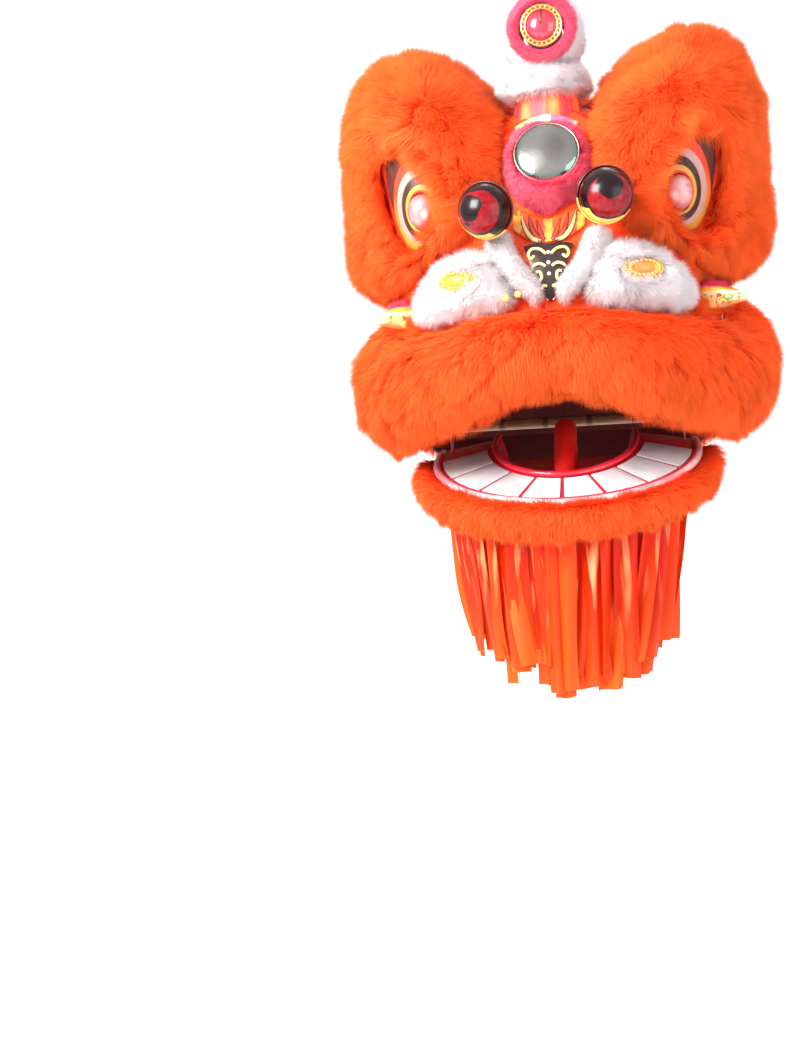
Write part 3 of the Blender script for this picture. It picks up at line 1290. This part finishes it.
def archMaterial():
    # the band over the mirror: gilt with purple, green and beige blocks
    material, shader = startMaterial("archPaint")
    where = place(material)
    across = mapped(material, axes(material, where)[0], (-0.06, 0.06))
    blocks = ramp(material, across, archBlocks, "CONSTANT")
    grain = noise(material, where, 90.0, 3.0)
    worn = mixColour(material, maths(material, "MULTIPLY", grain, 0.3), blocks, (0.90, 0.72, 0.50))
    feed(material, shader, {"Base Color": worn, "Roughness": 0.3, "Metallic": 0.2})
    feed(material, shader, {"Normal": bump(material, grain, 0.3, 0.0008)})
    return material


def panelMaterial():
    # orange paint with a gold border and a gold line down the middle
    material, shader = startMaterial("nosePanelPaint")
    where = place(material)
    drift = noise(material, where, 60.0, 3.0)
    across = maths(material, "ABSOLUTE", axes(material, where)[0])
    uneven = maths(material, "MULTIPLY_ADD", drift, 0.012, across)
    orange = ramp(material, drift, [(0.3, (0.80, 0.045, 0.006)), (0.7, (0.95, 0.12, 0.014))])
    gold = ramp(material, drift, [(0.3, (0.70, 0.24, 0.02)), (0.7, (0.88, 0.48, 0.08))])
    border, line = maths(material, "GREATER_THAN", uneven, 0.050), maths(material, "LESS_THAN", uneven, 0.0125)
    painted = mixColour(material, maths(material, "MAXIMUM", border, line), orange, gold)
    feed(material, shader, {"Base Color": painted, "Roughness": 0.35, "Coat Weight": 0.2})
    feed(material, shader, {"Normal": bump(material, drift, 0.3, 0.001)})
    return material


# x and z on the viewer's right half: each flame's foot, bend, tip and width, then the scrolls' controls
trim = {
    "flames": (
        ((0.011, 0.296), (0.037, 0.298), (0.043, 0.343), 0.0080),
        ((0.010, 0.297), (0.027, 0.305), (0.031, 0.339), 0.0070),
        ((0.006, 0.297), (0.014, 0.307), (0.018, 0.331), 0.0060),
    ),
    "scrolls": (
        ((0.0039, 0.2743), (0.0126, 0.2819), (0.0252, 0.2831), (0.031, 0.2755), (0.0272, 0.2679), (0.0218, 0.272)),
        (
            (0.0049, 0.2556), (0.0136, 0.2603), (0.0243, 0.2556), (0.0267, 0.2427), (0.0204, 0.2322),
            (0.0121, 0.2369), (0.0131, 0.2468), (0.0194, 0.2474),
        ),
        ((0.0039, 0.2252), (0.0097, 0.2257), (0.0131, 0.2193)),
    ),
    "edge": ((0.0135, 0.2225), (0.0105, 0.2150), (0.0075, 0.2080), (0.0035, 0.2035)),
    "dots": (0.277, 0.261, 0.244),
    "scrollWire": 0.0024, "edgeWire": 0.0014, "lineWire": 0.0008, "dotRadius": 0.0030,
    "flameLift": 0.0016, "flameDepth": 0.002,
}


def flameShape(front, side, foot, bend, tip, width):
    # a tongue of flame laid on the panel, highest along its middle, with its outline
    left, middle, right = [], [], []
    foot, bend, tip = (Vector(p) for p in (foot, bend, tip))
    for k in range(9):
        t = k / 8
        point = foot * (1 - t) ** 2 + bend * 2 * t * (1 - t) + tip * t * t
        along = ((bend - foot) * (1 - t) + (tip - bend) * t).normalized()
        half = width / 2 * (math.sin(math.pi * (0.18 + 0.82 * t)) ** 0.7 if t < 1 else 0.0) + 0.0002
        for row, share, lift in ((left, 1, 0.0002), (middle, 0, trim["flameLift"]), (right, -1, 0.0002)):
            x = (point.x - along.y * half * share) * side
            row.append(laid(front, x, point.y + along.x * half * share, lift))
    bm = bmesh.new()
    rows = [[bm.verts.new(p) for p in row] for row in (left, middle, right)]
    for one, two in zip(rows, rows[1:]):
        for k in range(8):
            bm.faces.new((one[k], one[k + 1], two[k + 1], two[k]))
    drawOut(bm, [e for e in bm.edges if e.is_boundary], (0, trim["flameDepth"], 0))
    bmesh.ops.recalc_face_normals(bm, faces=bm.faces[:])
    return bm, wire([*left, *reversed(right)], trim["lineWire"], True)


def makeTrim():
    black = glossMaterial("nosePlateBlack", (0.008, 0.003, 0.002), (0.026, 0.008, 0.006), 0.35, 30.0, 0.08)
    standIn(smoothed("nose_panel", 0.003, 5, "painted_panel", panelMaterial(), 0.0003), "nose_panel")
    standIn(rounded("nose_plate", "lacquered_plate", black, 0.0012), "nose_plate")
    standIn(smoothed("forehead_band", 0.0015, 6, "painted_arch", archMaterial(), 0.0003), "forehead_band")
    bands = bandMaterial()
    for word in ("left", "right"):
        standIn(smoothed("side_band_" + word, 0.003, 12, "painted_band_" + word, bands, 0.001), "side_band_" + word)
    front = surfaceOf("nose_plate", "nose_panel", "head_shell")
    curls, edges, tongues, sparks, lines = [], [], [], [], []
    for side in (1, -1):
        for controls in trim["scrolls"]:
            line = smoothLine([(x * side, 0, z) for x, z in controls], 26)
            curls.append(wire([laid(front, p.x, p.z, 0.0012) for p in line], trim["scrollWire"]))
        edge = [laid(front, side * x, z, 0.0008) for x, z in trim["edge"]]
        edges.append(wire([p for p in edge if p], trim["edgeWire"]))
        for k, row in enumerate(trim["flames"]):
            tongue, line = flameShape(front, side, *row)
            (sparks if k == 0 else tongues).append(tongue)
            lines.append(line)
    dots = [
        makeBead(trim["dotRadius"], Matrix.Translation(laid(front, 0.0, z, 0.0004)), segments=(16, 10))
        for z in trim["dots"]
    ]
    paleGold = glossMaterial("scrollGold", (0.86, 0.56, 0.14), (0.94, 0.78, 0.36), 0.3, 60.0, 0.2)
    silver = metalMaterial("silverEdge", (0.80, 0.80, 0.82), 0.22)
    white = glossMaterial("whiteDot", (0.80, 0.76, 0.74), (0.90, 0.88, 0.86), 0.3)
    ink = glossMaterial("inkLine", (0.012, 0.006, 0.005), (0.03, 0.012, 0.010), 0.35)
    flameRed = glossMaterial("flameRed", (0.72, 0.020, 0.008), (0.90, 0.07, 0.015), 0.3)
    for name, parts, material, like in (
        ("plate_scrolls", curls, paleGold, "gold"), ("plate_dots", dots, white, "tooth"),
        ("plate_edges", edges, silver, "steel"), ("panel_flames", tongues, flameRed, "red_gloss"),
        ("panel_sparks", sparks, paleGold, "gold"), ("panel_lines", lines, ink, "black_paint"),
    ):
        onHead(addPiece(name, joined(parts), material))


spangle = {
    "place": (-0.0665, 0.212), "apart": (0.0056, 0.001), "petals": 6, "lift": 0.016, "bead": 0.0026, "ring": 0.0038,
}


def makeSpangle():
    # two little gilt flowers with white centres, on the viewer's left of the nose
    gilt = metalMaterial("spangleGilt", (0.95, 0.66, 0.10), 0.25, 0.5)
    white = glossMaterial("spangleWhite", (0.78, 0.74, 0.70), (0.90, 0.88, 0.84), 0.3)
    front = surfaceOf("head_shell", "cheek_fur_right", "white_stripe_right", "upper_lip_fur")
    petals, hearts = [], []
    for step in (-1, 1):
        x, z = (spangle["place"][n] + step * spangle["apart"][n] for n in (0, 1))
        middle = laid(front, x, z, spangle["lift"])
        for k in range(spangle["petals"]):
            angle = math.tau * k / spangle["petals"]
            petal = middle + Vector((math.cos(angle), 0, math.sin(angle))) * spangle["ring"]
            petals.append(makeBead(spangle["bead"], Matrix.Translation(petal), (1, 0.5, 1)))
        heart = middle + Vector((0, -0.001, 0))
        hearts.append(makeBead(spangle["bead"], Matrix.Translation(heart), (1, 0.5, 1)))
    onHead(addPiece("spangle_petals", joined(petals), gilt))
    onHead(addPiece("spangle_hearts", joined(hearts), white))


fringe = {"hairs": 4000, "above": 0.2105, "pile": dict(padPile, length=0.013)}


def makeBandFringe():
    # short pink hair along the upper edge of each side band
    def upperEdge(centres, normals):
        return ((centres[:, 2] > fringe["above"]) & (normals[:, 2] > 0.05)).astype(float)

    comb = combed(furCentre, 1.0, (0.0, 0.0, -0.5), flatWise)
    for side, word in halves:
        skin = bpy.data.objects["painted_band_" + word].data
        roots, ups = sampled(skin, fringe["hairs"], np.random.default_rng(111 + side), upperEdge)
        flow = comb(roots, ups)
        fur = growFur("band_fringe_" + word, roots, ups, flow, fringe["pile"], pinkFur, 113 + side)
        onHead(fur)


# the gilt ovals on the cheeks: a turned profile and rings of beads with share, height, count and size
oval = {
    "place": (0.1307, -0.2593, 0.2340), "axis": (0.4526, -0.8395, 0.3006), "radii": (0.036, 0.017),
    "profile": (
        (0.0, 0.004), (0.94, 0.004), (0.96, 0.024), (0.90, 0.029), (0.70, 0.033), (0.55, 0.0335), (0.50, 0.032),
        (0.42, 0.034), (0.28, 0.0365), (0.0, 0.038),
    ),
    "rings": ((0.93, 0.027, 26, 0.0031), (0.70, 0.0335, 20, 0.0027)),
}


def makeOvals():
    sequins = metalMaterial("sequinGold", (0.95, 0.62, 0.12), 0.22, 0.5)
    amber = glossMaterial("ovalAmber", (0.80, 0.16, 0.02), (0.92, 0.34, 0.05), 0.25)
    wide, high = oval["radii"]
    for side, word in halves:
        matrix = facing(flipped(oval["place"], side), flipped(oval["axis"], side))
        plate = turned(oval["profile"], matrix, 56, oval["radii"])
        standIn(addPiece("oval_" + word, plate, amber, sharp=40), "cheek_oval_" + word)
        beads = []
        for ring, (share, rise, count, size) in enumerate(oval["rings"]):
            for k in range(count):
                angle = math.tau * (k + 0.5 * ring) / count
                point = Vector((wide * share * math.cos(angle), high * share * math.sin(angle), rise))
                beads.append(makeBead(size, matrix @ Matrix.Translation(point), (1, 1, 0.6), (10, 6)))
        standIn(addPiece("oval_sequins_" + word, joined(beads), sequins), "cheek_oval_" + word)


def hornMaterial():
    # painted petals round the horn's foot
    material, shader = startMaterial("hornPaint")
    where = place(material)
    parts = axes(material, moved(material, where, location=(0.0, -horn["foot"][1], 0.0)))
    turn = maths(material, "ARCTAN2", parts[0], parts[1])
    waves = maths(material, "SINE", maths(material, "MULTIPLY", turn, 7.0))
    petals = maths(material, "MULTIPLY_ADD", noise(material, where, 40.0, 3.0), 1.6, waves)
    tones = [
        (0.25, (0.70, 0.020, 0.04)), (0.50, (0.84, 0.07, 0.06)), (0.70, (0.92, 0.16, 0.02)), (0.95, (0.90, 0.28, 0.10)),
    ]
    colour = ramp(material, mapped(material, petals, (-1.0, 2.4)), tones)
    feed(material, shader, {"Base Color": colour, "Roughness": 0.55, "Coat Weight": 0.05})
    feed(material, shader, {"Normal": bump(material, petals, 0.3, 0.002)})
    return material


def makeHorn():
    red = glossMaterial("medallionRed", (0.50, 0.006, 0.02), (0.78, 0.03, 0.07), 0.18, 40.0, 1.0)
    gilt = metalMaterial("medallionGilt", (0.86, 0.50, 0.16), 0.3, 0.4)
    matrix = facing(Vector(horn["centre"]) + Vector(horn["axis"]).normalized() * horn["face"], horn["axis"])
    standIn(addPiece("medallion", turned(horn["disc"], matrix, 48), red, sharp=40), "horn_medallion")
    rings = [wire(circle(matrix, radius, height, 48), thick, True) for radius, height, thick in horn["rings"]]
    beads = horn["beads"]
    for point in circle(Matrix(), beads["ring"], beads["height"], beads["count"]):
        rings.append(makeBead(beads["radius"], matrix @ Matrix.Translation(point), segments=(8, 6)))
    standIn(addPiece("medallion_gilt", joined(rings), gilt), "horn_medallion")
    seam = wire([matrix @ Vector((0, y, height)) for y, height in horn["seam"]], 0.0016)
    dark = metalMaterial("medallionSeam", (0.20, 0.08, 0.04), 0.4)
    standIn(addPiece("medallion_seam", seam, dark), "horn_medallion")
    paint = hornMaterial()
    repaint("horn_base", paint)
    repaint("horn_core", paint)


def caneMaterial():
    # the carrying bar: split fibres with a dark knot at each joint
    cane, shader = startMaterial("bareCane")
    where = place(cane)
    fibre = noise(cane, moved(cane, where, scale=(0.06, 1, 1)), 500.0, 3.0)
    wave = {"Vector": where, "Scale": 4.2, "Distortion": 0.4, "Detail": 1.0}
    joints = addNode(cane, "TexWave", wave, bands_direction="X").outputs["Fac"]
    colour = ramp(cane, fibre, [(0.3, (0.16, 0.075, 0.03)), (0.7, (0.30, 0.17, 0.075))])
    knots = mixColour(cane, ramp(cane, joints, [(0.93, (0, 0, 0)), (0.99, (1, 1, 1))]), colour, (0.08, 0.035, 0.015))
    feed(cane, shader, {"Base Color": knots, "Roughness": 0.45, "Normal": bump(cane, fibre, 0.3, 0.0004)})
    return cane


def paintSolids():
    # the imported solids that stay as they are
    repaint("head_shell", paperMaterial())
    repaint("carry_bar", caneMaterial())
    steel = metalMaterial("pinSteel", (0.60, 0.58, 0.56), 0.35)
    for word in ("left", "right"):
        repaint("hinge_pin_" + word, steel)


makeCamera()
makeStudio()
paintSolids()
makeEyes()
makeMirror()
makeBalls()
makeJaw()
makeBeard()
makeTrim()
makeOvals()
makeHorn()
makeSpangle()
print("hard pieces done")
makeFur()
makeBandFringe()
makeFormFur()
added = [obj for obj in scene.objects if obj.type == "MESH" and obj not in nodes.values()]
print("new triangles", sum(len(face.vertices) - 2 for obj in added for face in obj.data.polygons))
